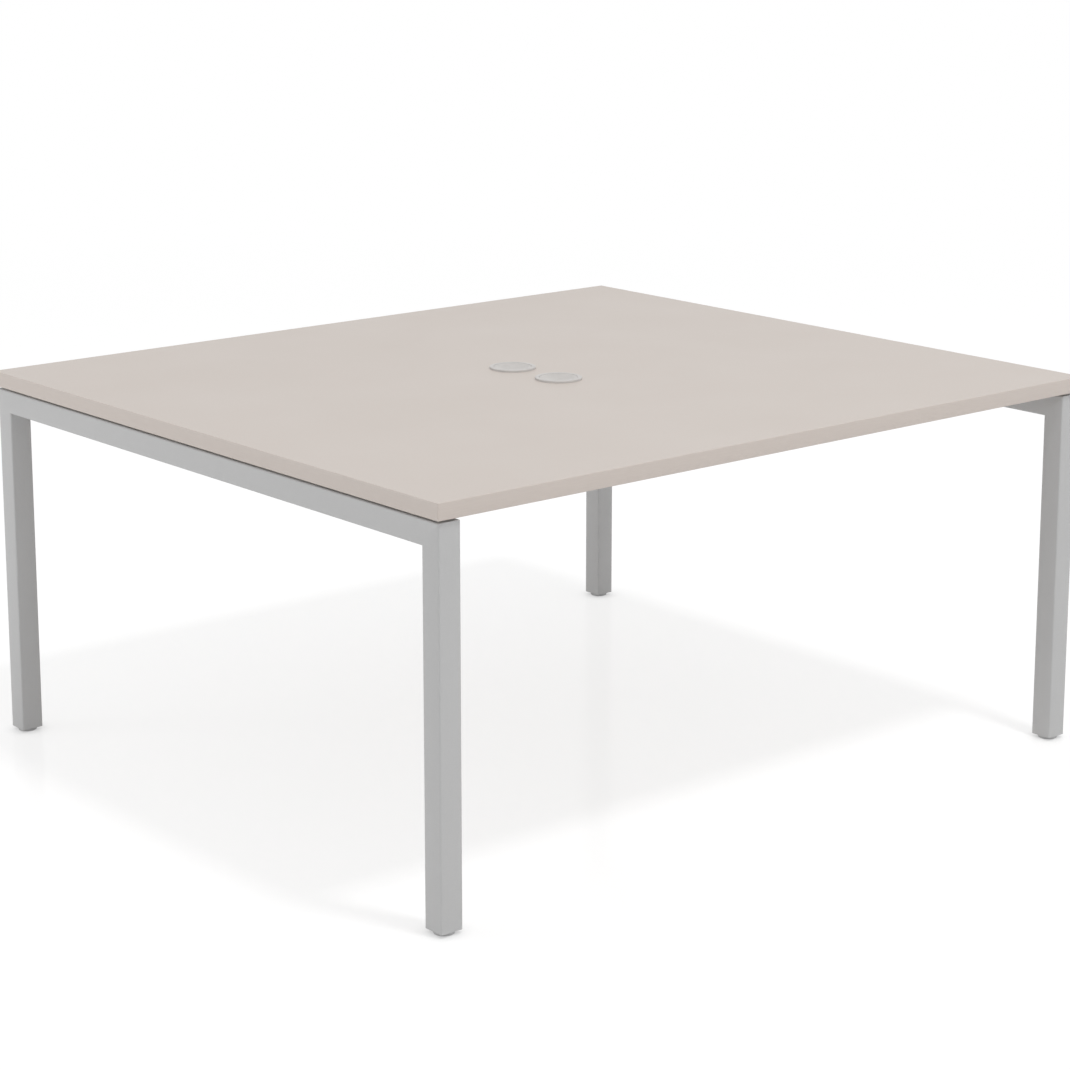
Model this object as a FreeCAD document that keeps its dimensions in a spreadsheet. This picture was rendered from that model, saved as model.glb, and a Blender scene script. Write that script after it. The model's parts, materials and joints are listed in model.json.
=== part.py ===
import FreeCAD, Part
import math
import os
import re
import Sketcher

# Driving sizes of the table, in millimetres. A name that ends in share is a plain ratio.
SIZES = {
    # board and its edge bands
    "table_height": 740,
    "top_length": 1600,
    "top_width": 1420,
    "top_thickness": 30,
    "band_thickness": 2,
    "band_round": 1.5,
    "round_limit_share": 0.9,
    # portal frames of square tube
    "tube_size": 45,
    "tube_wall": 2,
    "tube_round": 3,
    "tube_inner_round": 1,
    "frame_inset": 5,
    "gap_height": 5,
    # beams between the portal frames, with a welded plate on each end
    "beam_height": 40,
    "beam_depth": 30,
    "beam_wall": 2,
    "beam_round": 2.5,
    "beam_inner_round": 1,
    "beam_inset": 355,
    "plate_length": 110,
    "plate_thickness": 5,
    "plate_round": 4,
    # bolts, washers and rivet nuts that hold the plates to the crossbars
    "bolt_spacing": 80,
    "bolt_diameter": 8,
    "bolt_length": 22,
    "bolt_tip": 1,
    "bolt_head_width": 13,
    "bolt_head_height": 5,
    "bolt_hole_gap": 0.4,
    "washer_diameter": 17,
    "washer_thickness": 1.6,
    "nut_diameter": 11,
    "nut_length": 16,
    "nut_flange_diameter": 15,
    "nut_flange_height": 1,
    # spacers, screws and inserts that hold the board on the frame
    "bar_fixing_inset": 145,
    "beam_fixing_inset": 245,
    "spacer_diameter": 25,
    "screw_diameter": 6,
    "screw_length": 20,
    "screw_head_diameter": 12,
    "screw_head_height": 3.6,
    "screw_head_bevel": 1,
    "screw_socket_width": 4,
    "screw_socket_depth": 2,
    "screw_hole_gap": 0.4,
    "access_gap": 1,
    "insert_diameter": 10,
    "insert_length": 12,
    "insert_hole_depth": 16,
    # levelling feet and the plugs that carry them
    "pad_height": 6,
    "pad_diameter": 37,
    "pad_top_diameter": 33,
    "pad_edge_height": 4.5,
    "pad_bevel": 0.8,
    "pad_cover": 3,
    "leg_gap": 0.6,
    "stud_diameter": 8,
    "stud_length": 30,
    "stud_tip": 1,
    "stud_rim_diameter": 12,
    "stud_rim_height": 2,
    "stud_gap": 0.2,
    "collar_width": 13,
    "collar_height": 5,
    "collar_gap": 0.6,
    "plug_height": 30,
    "plug_base": 14,
    "plug_wall": 2.5,
    "plug_boss_diameter": 16,
    "plug_round": 1.5,
    "plug_gap": 0.15,
    # cable ports
    "port_offset": 70,
    "port_gap": 0.2,
    "flange_diameter": 92,
    "flange_lip": 6,
    "flange_height": 4,
    "flange_round": 0.8,
    "sleeve_depth": 24,
    "mouth_wall": 2.2,
    "ledge_width": 2.6,
    "ledge_drop": 1.5,
    "floor_drop": 7.6,
    "floor_thickness": 2,
    "floor_reach": 4,
    "cap_gap": 0.3,
    "cap_rise": 3.4,
    "cap_rim": 3,
    "cap_dish": 4.6,
    "cap_wall": 2.2,
    "cap_round": 0.6,
    "notch_width": 18,
    "notch_centre": 24,
    # fits shared by all round pieces, and how far a cut runs past what it cuts
    "fit_gap": 0.1,
    "thread_gap": 0.05,
    "overrun": 10,
}

# Places and lengths that follow from the driving sizes.
TOP_UNDER = "(table_height - top_thickness)"
FRAME_TOP = f"({TOP_UNDER} - gap_height)"
LEG_END = "(pad_height + leg_gap)"
LEG_LENGTH = f"({FRAME_TOP} - {LEG_END})"
BAR_LENGTH = "(top_width - 2 * frame_inset)"
BAR_INNER_X = "(top_length / 2 - frame_inset - tube_size)"
BAR_CENTRE_X = f"({BAR_INNER_X} + tube_size / 2)"
BAR_CENTRE_Z = f"({FRAME_TOP} - tube_size / 2)"
LEG_CENTRE_Y = "(top_width / 2 - frame_inset - tube_size / 2)"
BEAM_LENGTH = f"(2 * ({BAR_INNER_X} - plate_thickness))"
BEAM_CENTRE_Y = f"({BAR_LENGTH} / 2 - beam_inset)"
BEAM_CENTRE_Z = f"({FRAME_TOP} - beam_height / 2)"
BAR_FIXING_Y = f"({BAR_LENGTH} / 2 - bar_fixing_inset)"
BEAM_FIXING_X = f"({BEAM_LENGTH} / 2 - beam_fixing_inset)"
BOLT_RISE = f"({BEAM_CENTRE_Z} - {BAR_CENTRE_Z})"
BOLT_HEAD_X = f"({BAR_INNER_X} - plate_thickness - washer_thickness)"
SCREW_HOLE = "(screw_diameter / 2 + screw_hole_gap)"
ACCESS_HOLE = "(screw_head_diameter / 2 + access_gap)"
COLLAR_RADIUS = "(collar_width / sqrt(3))"
PORT_HOLE_RADIUS = "(flange_diameter / 2 - flange_lip)"
SLEEVE_RADIUS = f"({PORT_HOLE_RADIUS} - port_gap)"
MOUTH_RADIUS = f"({SLEEVE_RADIUS} - mouth_wall)"
BORE_RADIUS = f"({MOUTH_RADIUS} - ledge_width)"
CAP_RADIUS = f"({MOUTH_RADIUS} - cap_gap)"

# Ends, sides and the three fixing points of a tube, as signs.
BOTH = (-1, 1)
THREE = (-1, 0, 1)

# How a sketch numbers its own origin, its two axes and the points of a line or arc.
START, END, CENTRE = range(1, 4)
X_AXIS, Y_AXIS = range(-1, -3, -1)
ORIGIN = (X_AXIS, START)
AXIS_OF = {"DistanceX": Y_AXIS, "DistanceY": X_AXIS}
UP = FreeCAD.Vector(0, 0, 1)
NEARLY_NOTHING = 1e-7
CLOSE_ENOUGH = 1e-4
HALF_TURN = 180
QUARTER_TURN = 90
TOWARDS_FRONT = -QUARTER_TURN
SIXTH_TURN = 60

document = FreeCAD.newDocument("office_table")
nodes = []


def make_sheet():
    """Write every driving size into a sheet, under its own name."""
    table = document.addObject("Spreadsheet::Sheet", "Sizes")
    for row, (name, size) in enumerate(SIZES.items(), 1):
        table.set(f"A{row}", name)
        table.set(f"B{row}", str(size))
        table.setAlias(f"B{row}", name)
    document.recompute()
    return table


sheet = make_sheet()


def point_at_cell(match):
    """Turn the name of a size into a reference to its cell, and leave other words alone."""
    word = match.group()
    return f"Sizes.{word}" if word in SIZES else word


def formula(text):
    """Return the text as an expression on the sheet."""
    return re.sub(r"[a-z]\w*", point_at_cell, text)


def value(text):
    """Work out a formula with the sizes as they stand."""
    return float(sheet.evalExpression(formula(text)))


def bind(thing, path, text):
    """Tie a property to a formula."""
    thing.setExpression(path, formula(text))


def new_pattern(label):
    """Start a piece that is only copied into groups."""
    body = document.addObject("PartDesign::Body", label)
    body.Label = label
    return body


def new_node(label):
    """Start a piece of the table that is a node of its own."""
    body = new_pattern(label)
    nodes.append(body)
    return body


def place(piece, x, y, z, turn=0):
    """Put a piece at a point given by formulas, turned about the vertical."""
    piece.Placement = FreeCAD.Placement(FreeCAD.Vector(), FreeCAD.Rotation(UP, turn))
    for axis, text in zip("xyz", (x, y, z)):
        bind(piece, f"Placement.Base.{axis}", text)


def group(label, pattern, spots, height):
    """Make one node of separate solids: the pattern at each spot, all at one height."""
    document.recompute()
    copies = []
    for x, y, rotation in spots:
        copy = pattern.Shape.copy()
        copy.Placement = FreeCAD.Placement(FreeCAD.Vector(value(x), value(y), 0), rotation)
        copies.append(copy)
    node = document.addObject("Part::Feature", label)
    node.Label = label
    node.Shape = Part.makeCompound(copies)
    bind(node, "Placement.Base.z", height)
    nodes.append(node)


def sketch_on(body, plane_role, height="0"):
    """Start a sketch on one of the body's own planes, lifted along the plane's normal."""
    plane = next(f for f in body.Origin.OriginFeatures if f.Role == plane_role)
    sketch = body.newObject("Sketcher::SketchObject", f"{body.Label}_sketch")
    sketch.AttachmentSupport = [(plane, "")]
    sketch.MapMode = "FlatFace"
    bind(sketch, "AttachmentOffset.Base.z", height)
    return sketch


def hold_along(sketch, kind, line, point, text):
    """Hold one coordinate of a point to a formula, or keep the point on the axis if that is zero."""
    amount = value(text)
    if abs(amount) < NEARLY_NOTHING:
        sketch.addConstraint(Sketcher.Constraint("PointOnObject", line, point, AXIS_OF[kind]))
        return
    held = sketch.addConstraint(Sketcher.Constraint(kind, *ORIGIN, line, point, amount))
    bind(sketch, f"Constraints[{held}]", text)


def hold(sketch, line, point, x, y):
    """Hold a point of a sketch at a place given by two formulas."""
    hold_along(sketch, "DistanceX", line, point, x)
    hold_along(sketch, "DistanceY", line, point, y)


def hold_radius(sketch, curve, text):
    """Hold the radius of a circle or arc to a formula."""
    held = sketch.addConstraint(Sketcher.Constraint("Radius", curve, value(text)))
    bind(sketch, f"Constraints[{held}]", text)


def add_circle(sketch, x, y, radius):
    """Draw a circle held at a place."""
    middle = FreeCAD.Vector(value(x), value(y), 0)
    circle = sketch.addGeometry(Part.Circle(middle, UP, value(radius)))
    hold(sketch, circle, CENTRE, x, y)
    hold_radius(sketch, circle, radius)


def add_arc(sketch, start, end, centre_x, turn):
    """Draw an arc between two points about a centre whose first coordinate is given.

    turn is 1 where the arc runs to the left and -1 where it runs to the right.
    """
    x = value(centre_x)
    rise = end.dot(end) - start.dot(start) - 2 * x * (end.x - start.x)
    middle = FreeCAD.Vector(x, rise / (2 * (end.y - start.y)), 0)
    ends = (start, end) if turn > 0 else (end, start)
    angles = [math.atan2(point.y - middle.y, point.x - middle.x) for point in ends]
    circle = Part.Circle(middle, UP, start.distanceToPoint(middle))
    arc = sketch.addGeometry(Part.ArcOfCircle(circle, *angles))
    hold_along(sketch, "DistanceX", arc, CENTRE, centre_x)
    return (arc, START, END) if turn > 0 else (arc, END, START)


def add_outline(sketch, corners, arcs=None):
    """Draw a closed outline through corners, each a pair of formulas.

    arcs maps the number of a side to its arc's centre and turn; other sides are straight.
    """
    spots = [FreeCAD.Vector(value(x), value(y), 0) for x, y in corners]
    sides = []
    for number, start in enumerate(spots):
        end = spots[(number + 1) % len(spots)]
        if arcs and number in arcs:
            sides.append(add_arc(sketch, start, end, *arcs[number]))
        else:
            sides.append((sketch.addGeometry(Part.LineSegment(start, end)), START, END))
    for number, (x, y) in enumerate(corners):
        side, first, _ = sides[number]
        before, _, last = sides[number - 1]
        sketch.addConstraint(Sketcher.Constraint("Coincident", before, last, side, first))
        hold(sketch, side, first, x, y)


def add_rectangle(sketch, wide, tall):
    """Draw a rectangle about the sketch's origin."""
    signs = ((-1, -1), (1, -1), (1, 1), (-1, 1))
    add_outline(sketch, [(f"{a} * ({wide}) / 2", f"{b} * ({tall}) / 2") for a, b in signs])


def add_hexagon(sketch, width):
    """Draw a hexagon about the sketch's origin, from its width across flats."""
    turns = range(0, 2 * HALF_TURN, SIXTH_TURN)
    add_outline(sketch, [(f"{width} / sqrt(3) * cos({k})", f"{width} / sqrt(3) * sin({k})") for k in turns])


def add_quarter_arc(sketch, x, y, radius, quarter):
    """Draw a quarter circle that starts square to the axes."""
    middle = FreeCAD.Vector(value(x), value(y), 0)
    start = quarter * math.pi / 2
    circle = Part.Circle(middle, UP, value(radius))
    arc = sketch.addGeometry(Part.ArcOfCircle(circle, start, start + math.pi / 2))
    hold(sketch, arc, CENTRE, x, y)
    hold_radius(sketch, arc, radius)
    level, upright = (START, END) if quarter % 2 == 0 else (END, START)
    sketch.addConstraint(Sketcher.Constraint("Horizontal", arc, CENTRE, arc, level))
    sketch.addConstraint(Sketcher.Constraint("Vertical", arc, CENTRE, arc, upright))
    return arc


def add_rounded_rectangle(sketch, wide, tall, radius):
    """Draw a rectangle with round corners about the sketch's origin."""
    arcs = []
    for quarter, (across, up) in enumerate(((1, 1), (-1, 1), (-1, -1), (1, -1))):
        x = f"{across} * (({wide}) / 2 - {radius})"
        y = f"{up} * (({tall}) / 2 - {radius})"
        arcs.append(add_quarter_arc(sketch, x, y, radius, quarter))
    for arc, following in zip(arcs, arcs[1:] + arcs[:1]):
        ends = sketch.getPoint(arc, END), sketch.getPoint(following, START)
        side = sketch.addGeometry(Part.LineSegment(*ends))
        sketch.addConstraint(Sketcher.Constraint("Coincident", arc, END, side, START))
        sketch.addConstraint(Sketcher.Constraint("Coincident", side, END, following, START))


def add_tube_section(sketch, wide, tall, wall, outer_round, inner_round):
    """Draw the section of a rectangular tube."""
    add_rounded_rectangle(sketch, wide, tall, outer_round)
    add_rounded_rectangle(sketch, f"{wide} - 2 * {wall}", f"{tall} - 2 * {wall}", inner_round)


def extrude(body, sketch, length, side="One side"):
    """Pad a sketch along its normal, or evenly to both sides."""
    pad = body.newObject("PartDesign::Pad", f"{body.Label}_pad")
    pad.Profile = sketch
    pad.SideType = side
    bind(pad, "Length", length)


def turn_solid(body, sketch):
    """Revolve a sketch about its own upright axis."""
    solid = body.newObject("PartDesign::Revolution", f"{body.Label}_turned")
    solid.Profile = sketch
    solid.ReferenceAxis = (sketch, ["V_Axis"])


def cut(body, sketch, depth=None, ahead=True, side="One side"):
    """Pocket a sketch to a depth or right through, ahead of its plane or behind it."""
    document.recompute()
    before = body.Shape.Volume
    pocket = body.newObject("PartDesign::Pocket", f"{body.Label}_pocket")
    pocket.Profile = sketch
    pocket.Reversed = ahead
    pocket.SideType = side
    if depth is None:
        pocket.Type = "ThroughAll"
    else:
        bind(pocket, "Length", depth)
    document.recompute()
    if body.Shape.Volume >= before:
        raise RuntimeError(f"a cut in {body.Label} removed nothing")


def round_edges(body, radius, chosen):
    """Round the edges of a body that the test picks."""
    document.recompute()
    base = body.Tip
    names = [f"Edge{n}" for n, edge in enumerate(base.Shape.Edges, 1) if chosen(edge.BoundBox)]
    fillet = body.newObject("PartDesign::Fillet", f"{body.Label}_fillet")
    fillet.Base = (base, names)
    bind(fillet, "Radius", radius)


def round_rim(body, radius, rim_radius, rim_height):
    """Round one circular edge of a turned piece."""
    wanted = (2 * value(rim_radius), value(rim_height))

    def on_rim(box):
        found = (box.XLength, box.ZMax)
        flat = box.ZLength < NEARLY_NOTHING
        return flat and all(math.isclose(a, b, rel_tol=CLOSE_ENOUGH) for a, b in zip(found, wanted))

    round_edges(body, radius, on_rim)


def fixing_points():
    """List where the board is screwed down: three points on each crossbar and on each beam."""
    on_bars = [(f"{s} * {BAR_CENTRE_X}", f"{k} * {BAR_FIXING_Y}") for s in BOTH for k in THREE]
    on_beams = [(f"{k} * {BEAM_FIXING_X}", f"{s} * {BEAM_CENTRE_Y}") for s in BOTH for k in THREE]
    return on_bars + on_beams


def make_top_panel():
    """The board: a plain slab with two port holes and blind holes for the inserts."""
    body = new_node("top_panel")
    outline = sketch_on(body, "XY_Plane")
    add_rectangle(outline, "top_length - 2 * band_thickness", "top_width - 2 * band_thickness")
    extrude(body, outline, "top_thickness")
    ports = sketch_on(body, "XY_Plane")
    for side in BOTH:
        add_circle(ports, "0", f"{side} * port_offset", PORT_HOLE_RADIUS)
    cut(body, ports)
    holes = sketch_on(body, "XY_Plane")
    for x, y in fixing_points():
        add_circle(holes, x, y, "insert_diameter / 2 + fit_gap")
    cut(body, holes, "insert_hole_depth")
    place(body, "0", "0", TOP_UNDER)


def make_band(label, length, x, y, turn, wraps_ends):
    """One edge band, its outer face towards its own -Y and its outer edges rounded.

    The front and rear bands wrap the ends of the side bands, so their ends are rounded too.
    """
    body = new_node(label)
    outline = sketch_on(body, "XY_Plane")
    add_rectangle(outline, length, "band_thickness")
    extrude(body, outline, "top_thickness")
    inner = value("band_thickness") / 2

    def off_inner_face(box):
        return box.YMin < inner - NEARLY_NOTHING

    def long_outer_edge(box):
        return box.YMax < NEARLY_NOTHING - inner and box.XLength > box.ZLength

    chosen = off_inner_face if wraps_ends else long_outer_edge
    round_edges(body, "min(band_round; round_limit_share * band_thickness)", chosen)
    place(body, x, y, TOP_UNDER, turn)


def make_bands():
    """The four edge bands of the board."""
    side_length = "top_width - 2 * band_thickness"
    x = "(top_length / 2 - band_thickness / 2)"
    y = "(top_width / 2 - band_thickness / 2)"
    make_band("edge_band_front", "top_length", "0", f"-{y}", 0, True)
    make_band("edge_band_rear", "top_length", "0", y, HALF_TURN, True)
    make_band("edge_band_left", side_length, f"-{x}", "0", -QUARTER_TURN, False)
    make_band("edge_band_right", side_length, x, "0", QUARTER_TURN, False)


def make_leg(label, side, end):
    """One leg: a square tube whose upper end is mitred to meet the crossbar."""
    body = new_node(label)
    section = sketch_on(body, "XY_Plane")
    add_tube_section(section, "tube_size", "tube_size", "tube_wall", "tube_round", "tube_inner_round")
    extrude(body, section, LEG_LENGTH)
    mitre = sketch_on(body, "YZ_Plane")
    past = "(tube_size / 2 + overrun)"
    add_outline(mitre, [
        (f"-{past}", f"{LEG_LENGTH} + overrun"),
        (past, f"{LEG_LENGTH} - tube_size - overrun"),
        (past, f"{LEG_LENGTH} + overrun"),
    ])
    cut(body, mitre, side="Symmetric")
    turn = 0 if end < 0 else HALF_TURN
    place(body, f"{side} * {BAR_CENTRE_X}", f"{end} * {LEG_CENTRE_Y}", LEG_END, turn)


def cut_screw_holes(body, spots):
    """Screw holes in a tube's upper wall, with access holes for the heads in its lower wall."""
    holes = sketch_on(body, "XY_Plane")
    for x, y in spots:
        add_circle(holes, x, y, SCREW_HOLE)
    cut(body, holes)
    access = sketch_on(body, "XY_Plane")
    for x, y in spots:
        add_circle(access, x, y, ACCESS_HOLE)
    cut(body, access, ahead=False)


def make_crossbar(label, side):
    """One crossbar: a square tube along Y, mitred at both ends, with nut holes in its inner face."""
    body = new_node(label)
    section = sketch_on(body, "XZ_Plane")
    add_tube_section(section, "tube_size", "tube_size", "tube_wall", "tube_round", "tube_inner_round")
    extrude(body, section, BAR_LENGTH, "Symmetric")
    mitres = sketch_on(body, "YZ_Plane")
    for end in BOTH:
        add_outline(mitres, [
            (f"{end} * ({BAR_LENGTH} / 2 + overrun)", "tube_size / 2 + overrun"),
            (f"{end} * ({BAR_LENGTH} / 2 - tube_size - overrun)", "-(tube_size / 2 + overrun)"),
            (f"{end} * ({BAR_LENGTH} / 2 + overrun)", "-(tube_size / 2 + overrun)"),
        ])
    cut(body, mitres, side="Symmetric")
    cut_screw_holes(body, [("0", f"{k} * {BAR_FIXING_Y}") for k in THREE])
    nut_holes = sketch_on(body, "YZ_Plane")
    for beam in BOTH:
        for bolt in BOTH:
            y = f"{beam} * {BEAM_CENTRE_Y} + {bolt} * bolt_spacing / 2"
            add_circle(nut_holes, y, BOLT_RISE, "nut_diameter / 2 + fit_gap")
    cut(body, nut_holes)
    turn = 0 if side < 0 else HALF_TURN
    place(body, f"{side} * {BAR_CENTRE_X}", "0", BAR_CENTRE_Z, turn)


def make_beam(label, end):
    """One beam: a rectangular tube along X between the end plates."""
    body = new_node(label)
    section = sketch_on(body, "YZ_Plane")
    add_tube_section(section, "beam_depth", "beam_height", "beam_wall", "beam_round", "beam_inner_round")
    extrude(body, section, BEAM_LENGTH, "Symmetric")
    cut_screw_holes(body, [(f"{k} * {BEAM_FIXING_X}", "0") for k in THREE])
    place(body, "0", f"{end} * {BEAM_CENTRE_Y}", BEAM_CENTRE_Z)


def make_beam_plate(label, side, end):
    """One end plate: two bolt holes, counterbored at the back for the flanges of the rivet nuts."""
    body = new_node(label)
    outline = sketch_on(body, "YZ_Plane")
    add_rounded_rectangle(outline, "plate_length", "beam_height", "plate_round")
    extrude(body, outline, "plate_thickness")
    seats = sketch_on(body, "YZ_Plane")
    holes = sketch_on(body, "YZ_Plane")
    for bolt in BOTH:
        y = f"{bolt} * bolt_spacing / 2"
        add_circle(seats, y, "0", "nut_flange_diameter / 2 + bolt_hole_gap")
        add_circle(holes, y, "0", "bolt_diameter / 2 + bolt_hole_gap")
    cut(body, seats, "nut_flange_height + fit_gap")
    cut(body, holes)
    turn = 0 if side < 0 else HALF_TURN
    place(body, f"{side} * {BAR_INNER_X}", f"{end} * {BEAM_CENTRE_Y}", BEAM_CENTRE_Z, turn)


def make_ring(label, outer, inner, height):
    """A flat ring about the vertical, standing on its own origin."""
    body = new_pattern(label)
    outline = sketch_on(body, "XY_Plane")
    add_circle(outline, "0", "0", outer)
    add_circle(outline, "0", "0", inner)
    extrude(body, outline, height)
    return body


def make_bolt():
    """A hexagon bolt, its head above its own origin and its shank below."""
    body = new_pattern("bolt_pattern")
    head = sketch_on(body, "XY_Plane")
    add_hexagon(head, "bolt_head_width")
    extrude(body, head, "bolt_head_height")
    shank = sketch_on(body, "XZ_Plane")
    add_outline(shank, [
        ("0", "bolt_head_height / 2"),
        ("0", "-bolt_length"),
        ("bolt_diameter / 2 - bolt_tip", "-bolt_length"),
        ("bolt_diameter / 2", "-(bolt_length - bolt_tip)"),
        ("bolt_diameter / 2", "bolt_head_height / 2"),
    ])
    turn_solid(body, shank)
    return body


def make_rivet_nut():
    """A rivet nut, its flange above its own origin and its body below."""
    body = new_pattern("rivet_nut_pattern")
    section = sketch_on(body, "XZ_Plane")
    add_outline(section, [
        ("bolt_diameter / 2 + thread_gap", "nut_flange_height"),
        ("bolt_diameter / 2 + thread_gap", "-nut_length"),
        ("nut_diameter / 2", "-nut_length"),
        ("nut_diameter / 2", "0"),
        ("nut_flange_diameter / 2", "0"),
        ("nut_flange_diameter / 2", "nut_flange_height"),
    ])
    turn_solid(body, section)
    return body


def make_beam_fasteners():
    """Bolts, washers and rivet nuts, each a group along the inner faces of the crossbars."""
    bolt_hole = "bolt_diameter / 2 + fit_gap"
    washer = make_ring("washer_pattern", "washer_diameter / 2", bolt_hole, "washer_thickness")
    inwards = FreeCAD.Rotation(UP, FreeCAD.Vector(1, 0, 0))
    outwards = FreeCAD.Rotation(UP, FreeCAD.Vector(-1, 0, 0))

    def spots(x):
        found = []
        for side, facing in zip(BOTH, (inwards, outwards)):
            for beam in BOTH:
                for bolt in BOTH:
                    y = f"{beam} * {BEAM_CENTRE_Y} + {bolt} * bolt_spacing / 2"
                    found.append((f"{side} * {x}", y, facing))
        return found

    group("beam_bolts", make_bolt(), spots(BOLT_HEAD_X), BEAM_CENTRE_Z)
    group("beam_washers", washer, spots(f"({BAR_INNER_X} - plate_thickness)"), BEAM_CENTRE_Z)
    group("beam_rivet_nuts", make_rivet_nut(), spots(BAR_INNER_X), BEAM_CENTRE_Z)


def make_screw():
    """A pan-head screw with a hexagon socket, its shank above its own origin and its head below."""
    body = new_pattern("screw_pattern")
    section = sketch_on(body, "XZ_Plane")
    add_outline(section, [
        ("0", "screw_length"),
        ("0", "-screw_head_height"),
        ("screw_head_diameter / 2 - screw_head_bevel", "-screw_head_height"),
        ("screw_head_diameter / 2", "-(screw_head_height - screw_head_bevel)"),
        ("screw_head_diameter / 2", "0"),
        ("screw_diameter / 2", "0"),
        ("screw_diameter / 2", "screw_length"),
    ])
    turn_solid(body, section)
    socket = sketch_on(body, "XY_Plane", "-screw_head_height")
    add_hexagon(socket, "screw_socket_width")
    cut(body, socket, "screw_socket_depth")
    return body


def make_top_fasteners():
    """Spacers, screws and inserts, one of each at every fixing point."""
    upright = FreeCAD.Rotation()
    spots = [(x, y, upright) for x, y in fixing_points()]
    spacer = make_ring("spacer_pattern", "spacer_diameter / 2", SCREW_HOLE, "gap_height")
    thread = "screw_diameter / 2 + thread_gap"
    insert = make_ring("insert_pattern", "insert_diameter / 2", thread, "insert_length")
    group("top_spacers", spacer, spots, FRAME_TOP)
    group("top_screws", make_screw(), spots, f"({FRAME_TOP} - tube_wall)")
    group("top_inserts", insert, spots, TOP_UNDER)


def make_leg_plug(label, x, y):
    """One nylon plug in the lower end of a leg: a square cup with a threaded boss and a collar recess."""
    body = new_node(label)
    side = "(tube_size - 2 * tube_wall - 2 * plug_gap)"
    outline = sketch_on(body, "XY_Plane")
    add_rounded_rectangle(outline, side, side, "plug_round")
    extrude(body, outline, "plug_height")
    hollow = sketch_on(body, "XY_Plane", "plug_base")
    add_rectangle(hollow, f"{side} - 2 * plug_wall", f"{side} - 2 * plug_wall")
    add_circle(hollow, "0", "0", "plug_boss_diameter / 2")
    cut(body, hollow)
    thread = sketch_on(body, "XY_Plane")
    add_circle(thread, "0", "0", "stud_diameter / 2 + thread_gap")
    cut(body, thread)
    recess = sketch_on(body, "XY_Plane")
    add_circle(recess, "0", "0", f"{COLLAR_RADIUS} + collar_gap")
    cut(body, recess, "collar_height + collar_gap - leg_gap")
    place(body, x, y, LEG_END)


def make_foot_stud(label, x, y):
    """One threaded stud, with a spanner collar that stands on the pad and a rim that keeps the pad on."""
    body = new_node(label)
    rim_top = "(pad_cover + stud_gap)"
    section = sketch_on(body, "XZ_Plane")
    add_outline(section, [
        ("0", "collar_height + stud_length"),
        ("0", f"-({rim_top} + stud_rim_height)"),
        ("stud_rim_diameter / 2", f"-({rim_top} + stud_rim_height)"),
        ("stud_rim_diameter / 2", f"-{rim_top}"),
        ("stud_diameter / 2", f"-{rim_top}"),
        ("stud_diameter / 2", "collar_height + stud_length - stud_tip"),
        ("stud_diameter / 2 - stud_tip", "collar_height + stud_length"),
    ])
    turn_solid(body, section)
    collar = sketch_on(body, "XY_Plane")
    add_hexagon(collar, "collar_width")
    extrude(body, collar, "collar_height")
    place(body, x, y, "pad_height")


def make_foot_pad(label, x, y):
    """One round pad that stands on the floor, hollowed from below for the rim of the stud."""
    body = new_node(label)
    section = sketch_on(body, "XZ_Plane")
    add_outline(section, [
        ("stud_diameter / 2 + stud_gap", "pad_height"),
        ("stud_diameter / 2 + stud_gap", "pad_height - pad_cover"),
        ("stud_rim_diameter / 2 + stud_gap", "pad_height - pad_cover"),
        ("stud_rim_diameter / 2 + stud_gap", "0"),
        ("pad_diameter / 2 - pad_bevel", "0"),
        ("pad_diameter / 2", "pad_bevel"),
        ("pad_diameter / 2", "pad_edge_height"),
        ("pad_top_diameter / 2", "pad_height"),
    ])
    turn_solid(body, section)
    place(body, x, y, "0")


def make_port_sleeve(label, y):
    """One port sleeve: a flanged tube with a ledge for the cap and a floor under half of it."""
    body = new_node(label)
    section = sketch_on(body, "XZ_Plane")
    add_outline(section, [
        (BORE_RADIUS, "-ledge_drop"),
        (BORE_RADIUS, "-sleeve_depth"),
        (SLEEVE_RADIUS, "-sleeve_depth"),
        (SLEEVE_RADIUS, "0"),
        ("flange_diameter / 2", "0"),
        ("flange_diameter / 2", "flange_height"),
        (MOUTH_RADIUS, "flange_height"),
        (MOUTH_RADIUS, "-ledge_drop"),
    ])
    turn_solid(body, section)
    round_rim(body, "flange_round", "flange_diameter / 2", "flange_height")
    floor = sketch_on(body, "XY_Plane", "-(floor_drop + floor_thickness)")
    radius = f"({BORE_RADIUS} + ledge_width / 2)"
    chord = f"sqrt({radius}^2 - floor_reach^2)"
    add_outline(floor, [("-floor_reach", f"-{chord}"), ("-floor_reach", chord)], {0: ("0", 1)})
    extrude(body, floor, "floor_thickness")
    place(body, "0", y, "table_height", TOWARDS_FRONT)


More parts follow.
